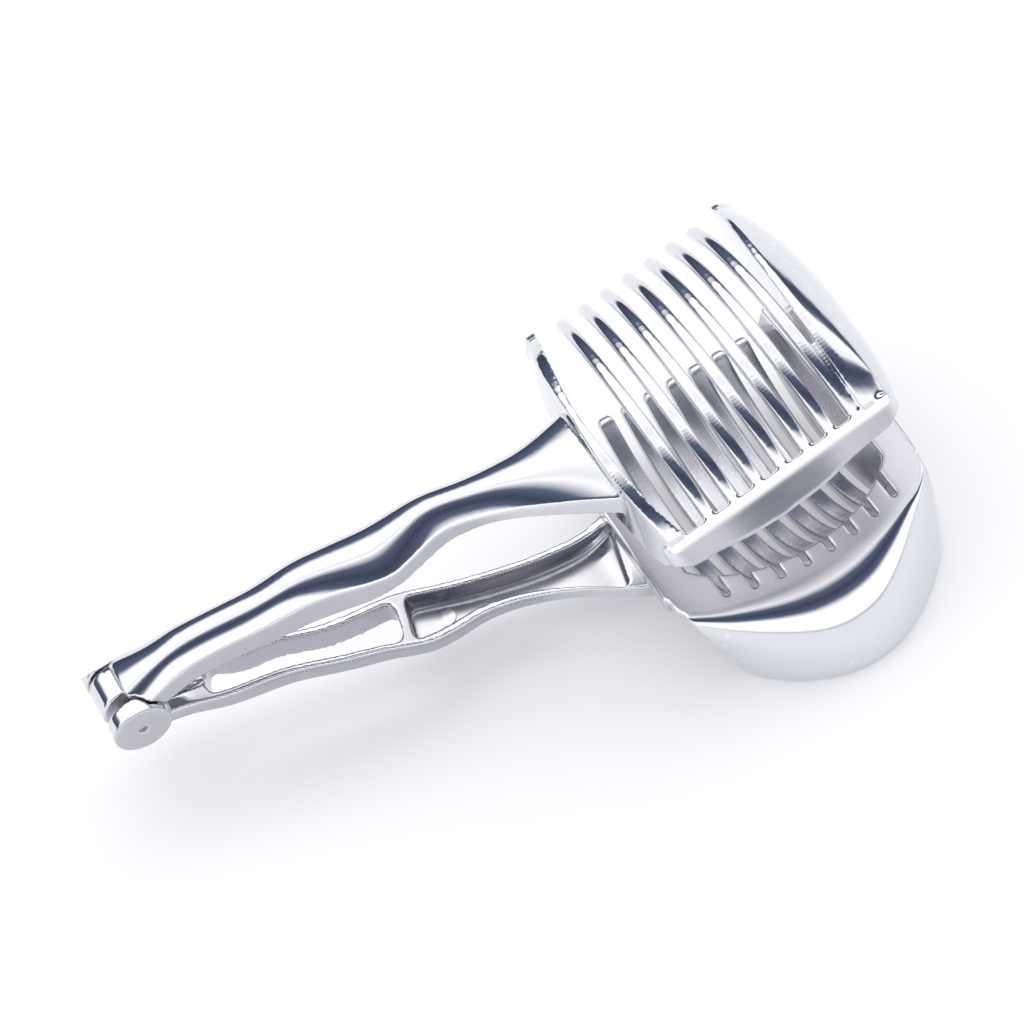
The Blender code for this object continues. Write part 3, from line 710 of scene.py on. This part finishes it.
class Nodes:
    """Short calls for building a shader."""

    def __init__(self, material):
        self.tree = material.node_tree
        self.shader = self.tree.nodes["Principled BSDF"]

    def add(self, kind, **settings):
        node = self.tree.nodes.new(kind)
        for key, value in settings.items():
            setattr(node, key, value)
        return node

    def join(self, source, target):
        self.tree.links.new(source, target)

    def noise(self, scale, detail=4.0, stretch=(1, 1, 1)):
        place = self.add("ShaderNodeTexCoord")
        mapping = self.add("ShaderNodeMapping")
        mapping.inputs["Scale"].default_value = stretch
        texture = self.add("ShaderNodeTexNoise")
        texture.inputs["Scale"].default_value = scale
        texture.inputs["Detail"].default_value = detail
        self.join(place.outputs["Object"], mapping.inputs["Vector"])
        self.join(mapping.outputs["Vector"], texture.inputs["Vector"])
        return texture.outputs["Fac"]

    def ranged(self, value, low, high, to_low, to_high):
        node = self.add("ShaderNodeMapRange")
        self.join(value, node.inputs["Value"])
        for key, number in (("From Min", low), ("From Max", high), ("To Min", to_low), ("To Max", to_high)):
            node.inputs[key].default_value = number
        return node.outputs["Result"]

    def maths(self, operation, a, b):
        node = self.add("ShaderNodeMath", operation=operation)
        for socket, value in zip(node.inputs, (a, b)):
            if isinstance(value, (int, float)):
                socket.default_value = value
            else:
                self.join(value, socket)
        return node.outputs[0]

    def mixed(self, share, a, b):
        node = self.add("ShaderNodeMix", data_type="RGBA")
        for socket, value in zip((node.inputs["Factor"], node.inputs[6], node.inputs[7]), (share, a, b)):
            if isinstance(value, tuple):
                socket.default_value = (*value, 1.0)
            else:
                self.join(value, socket)
        return node.outputs[2]

    def bump(self, height, strength, distance, under=None):
        node = self.add("ShaderNodeBump")
        node.inputs["Strength"].default_value = strength
        node.inputs["Distance"].default_value = distance
        self.join(height, node.inputs["Height"])
        if under is not None:
            self.join(under, node.inputs["Normal"])
        return node.outputs["Normal"]


def new_metal(name, colour, roughness):
    material = bpy.data.materials.new(name)
    material.use_nodes = True
    nodes = Nodes(material)
    nodes.shader.inputs["Metallic"].default_value = 1.0
    nodes.shader.inputs["Base Color"].default_value = (*colour, 1.0)
    nodes.shader.inputs["Roughness"].default_value = roughness
    return material, nodes


def casting_material(name, bright, satin):
    """Die-cast aluminium: buffed bright with faint polishing lines, satin where marked, darker where the
    shade attribute is set (part satin finish, part painted shade), with painted highlights on sharp convex
    edges and painted shade in concave creases.
    """
    material, nodes = new_metal(name, bright, 0.1)
    mask = nodes.add("ShaderNodeAttribute", attribute_name="satin").outputs["Fac"]
    shade = nodes.add("ShaderNodeAttribute", attribute_name="shade").outputs["Fac"]
    teeth = nodes.add("ShaderNodeAttribute", attribute_name="serration").outputs["Fac"]
    cloud = nodes.noise(45.0, 3.0)
    lines = nodes.noise(900.0, 3.0, (0.12, 1, 1))
    grain = nodes.noise(3200.0, 3.0)
    # Darker towards the satin colour where shade is set: part satin finish, part painted shade.
    colour = nodes.mixed(shade, bright, satin)
    stain = nodes.ranged(cloud, 0.52, 0.75, 0.0, 0.12)
    colour = nodes.mixed(stain, colour, (0.50, 0.51, 0.55))
    # Painted highlight on sharp convex edges and painted shade in concave creases, both taken from
    # pointiness.
    edges = nodes.add("ShaderNodeNewGeometry").outputs["Pointiness"]
    colour = nodes.mixed(nodes.ranged(edges, 0.5, 0.6, 0.0, 0.5), colour, (0.93, 0.93, 0.95))
    colour = nodes.mixed(nodes.ranged(edges, 0.49, 0.42, 0.0, 0.35), colour, (0.40, 0.41, 0.45))
    wave = nodes.add("ShaderNodeTexWave", wave_type="BANDS", bands_direction="X")
    wave.inputs["Scale"].default_value = 330.0
    place = nodes.add("ShaderNodeTexCoord")
    nodes.join(place.outputs["Object"], wave.inputs["Vector"])
    toothed = nodes.maths("MULTIPLY", wave.outputs["Fac"], teeth)
    colour = nodes.mixed(nodes.maths("MULTIPLY", toothed, 0.45), colour, (0.34, 0.35, 0.39))
    nodes.join(colour, nodes.shader.inputs["Base Color"])
    rough = nodes.ranged(mask, 0.0, 1.0, 0.07, 0.36)
    rough = nodes.maths("ADD", rough, nodes.ranged(cloud, 0.3, 0.7, -0.015, 0.035))
    rough = nodes.maths("ADD", rough, nodes.ranged(lines, 0.3, 0.7, -0.01, 0.02))
    nodes.join(rough, nodes.shader.inputs["Roughness"])
    height = nodes.maths("ADD", nodes.maths("MULTIPLY", grain, mask), nodes.maths("MULTIPLY", lines, 0.25))
    fine = nodes.bump(height, 0.22, 0.00004)
    soft = nodes.bump(nodes.noise(70.0, 2.0), 0.16, 0.0004, fine)
    ridged = nodes.bump(toothed, 0.8, 0.00025, soft)
    nodes.join(ridged, nodes.shader.inputs["Normal"])
    return material


def steel_material(name, colour, roughness, scale, stretch):
    """Drawn or turned steel: fine lines in one direction, with uneven roughness and a little dulling."""
    material, nodes = new_metal(name, colour, roughness)
    lines = nodes.noise(scale, 3.0, stretch)
    cloud = nodes.noise(300.0, 4.0)
    dull = tuple(0.55 * c for c in colour)
    dulling = nodes.ranged(cloud, 0.45, 0.7, 0.0, 0.6)
    nodes.join(nodes.mixed(dulling, colour, dull), nodes.shader.inputs["Base Color"])
    uneven = nodes.ranged(lines, 0.3, 0.7, roughness - 0.06, roughness + 0.1)
    nodes.join(uneven, nodes.shader.inputs["Roughness"])
    nodes.join(nodes.bump(lines, 0.3, 0.00003), nodes.shader.inputs["Normal"])
    return material


# Putting the pieces in the frame

def placed(obj, body, material, slot, *nodes, opened=False):
    """Moves a shape from the hinge frame to the row frame and hands it to its body."""
    turn = Matrix.Rotation(-math.radians(OPEN_DEG), 4, "Y") if opened else Matrix.Identity(4)
    obj.data.transform(Matrix.Scale(0.001, 4) @ Matrix.Translation(HINGE_AT) @ turn)
    obj.data.materials.clear()
    obj.data.materials.append(material)
    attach(obj, body)
    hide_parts(*nodes)
    return obj


def smooth_shaded(obj, angle=35):
    obj.data.polygons.foreach_set("use_smooth", [True] * len(obj.data.polygons))
    obj.data.set_sharp_from_angle(angle=math.radians(angle))
    return obj


def build_object():
    tines = [f"tine_{i + 1}" for i in range(SLOT_COUNT - 1)]
    ribs = [f"bowl_rib_{i + 1}" for i in range(SLOT_COUNT - 1)]
    aluminium = casting_material("polished_aluminium", (0.74, 0.745, 0.775), (0.47, 0.465, 0.505))
    pin_steel = steel_material("turned_steel", (0.62, 0.62, 0.64), 0.24, 2500.0, (1, 1, 1))
    wire_steel = steel_material("spring_wire", (0.55, 0.55, 0.57), 0.22, 1800.0, (1, 1, 1))
    upper = make_upper_casting()
    mark_upper(upper)
    placed(upper, "upper", aluminium, "polished_casting", "upper_handle", "upper_frame", *tines, opened=True)
    lower = make_lower_casting()
    mark_lower(lower)
    placed(lower, "lower", aluminium, "satin_casting", "lower_handle", "lower_jaw", *ribs)
    pin_end = BARREL_HALF - PIN_RECESS
    pin = smooth_shaded(cylinder("pin", PIN_RADIUS - 0.17, -pin_end, pin_end, 64, edge=0.2))
    placed(pin, "lower", pin_steel, "pin_steel", "hinge_pin")
    placed(smooth_shaded(make_washer()), "lower", pin_steel, "pin_steel", "hinge_washer")
    placed(make_spring(), "lower", wire_steel, "spring_steel", "torsion_spring")


# Studio

def build_camera():
    camera = bpy.data.objects.new("camera", bpy.data.cameras.new("camera"))
    bpy.context.scene.collection.objects.link(camera)
    camera.data.lens = 90.9
    camera.data.sensor_width = 36.0
    camera.data.clip_start = 0.01
    right = (0.8562, -0.4830, -0.1836)
    down = (-0.5009, -0.6886, -0.5244)
    ahead = (0.1268, 0.5409, -0.8315)
    at = (-0.07385, -0.32985, 0.5742)
    rows = [(right[i], -down[i], -ahead[i], at[i]) for i in range(3)]
    camera.matrix_world = Matrix(rows + [(0, 0, 0, 1)])
    bpy.context.scene.camera = camera


def build_floor():
    shape = bmesh.new()
    bmesh.ops.create_circle(shape, cap_ends=True, segments=96, radius=3.0)
    floor = new_object("floor", shape)
    floor.location = (0, 0, -0.0005)
    material = bpy.data.materials.new("floor_paper")
    material.use_nodes = True
    nodes = Nodes(material)
    clouding = nodes.ranged(nodes.noise(18.0), 0.3, 0.7, 0.0, 0.25)
    shade = nodes.mixed(clouding, (0.72, 0.72, 0.73), (0.70, 0.70, 0.72))
    nodes.join(shade, nodes.shader.inputs["Base Color"])
    nodes.shader.inputs["Roughness"].default_value = 0.9
    nodes.shader.inputs["Specular IOR Level"].default_value = 0.0
    nodes.shader.inputs["Emission Color"].default_value = (0.97, 0.975, 1.0, 1.0)
    nodes.shader.inputs["Emission Strength"].default_value = 0.3
    floor.data.materials.append(material)


def build_room():
    """Soft white room with dark blue-grey gaps between its light panels, running across the object."""
    world = bpy.data.worlds.new("studio")
    bpy.context.scene.world = world
    world.use_nodes = True
    tree = world.node_tree
    place = tree.nodes.new("ShaderNodeTexCoord")
    parts = tree.nodes.new("ShaderNodeSeparateXYZ")
    tree.links.new(place.outputs["Generated"], parts.inputs[0])
    flip = tree.nodes.new("ShaderNodeMath")
    flip.operation = "MULTIPLY"
    flip.inputs[1].default_value = -1.0
    tree.links.new(parts.outputs["Y"], flip.inputs[0])
    turn = tree.nodes.new("ShaderNodeMath")
    turn.operation = "ARCTAN2"
    tree.links.new(parts.outputs["Z"], turn.inputs[0])
    tree.links.new(flip.outputs[0], turn.inputs[1])
    share = tree.nodes.new("ShaderNodeMapRange")
    share.inputs["From Min"].default_value = 0.0
    share.inputs["From Max"].default_value = math.pi
    tree.links.new(turn.outputs[0], share.inputs["Value"])
    ramp = tree.nodes.new("ShaderNodeValToRGB")
    white = (1.0, 1.0, 1.0)
    navy = (0.085, 0.11, 0.17)
    dark = (0.045, 0.052, 0.085)
    stops = [
        (0, (0.25, 0.28, 0.36)), (3, white), (30, white), (38, navy), (50, dark), (64, navy), (78, white),
        (84, (0.8, 0.8, 0.82)), (95, white), (140, white), (150, navy), (174, dark), (180, dark),
    ]
    elements = ramp.color_ramp.elements
    while len(elements) < len(stops):
        elements.new(0.5)
    for element, (degrees, colour) in zip(elements, stops):
        element.position = degrees / 180
        element.color = (*colour, 1.0)
    tree.links.new(share.outputs["Result"], ramp.inputs["Fac"])
    background = tree.nodes["Background"]
    tree.links.new(ramp.outputs["Color"], background.inputs["Color"])
    background.inputs["Strength"].default_value = 1.4


def build_lamp():
    data = bpy.data.lights.new("overhead_panel", "AREA")
    data.shape = "RECTANGLE"
    data.size = 1.4
    data.size_y = 0.8
    data.energy = 4.0
    data.color = (1.0, 0.995, 0.985)
    lamp = bpy.data.objects.new("overhead_panel", data)
    bpy.context.scene.collection.objects.link(lamp)
    lamp.location = (0.1, 0.55, 1.5)
    lamp.rotation_euler = (math.radians(-20), 0, 0)


build_object()
build_camera()
build_floor()
build_room()
build_lamp()
bpy.context.scene.view_settings.view_transform = "Standard"
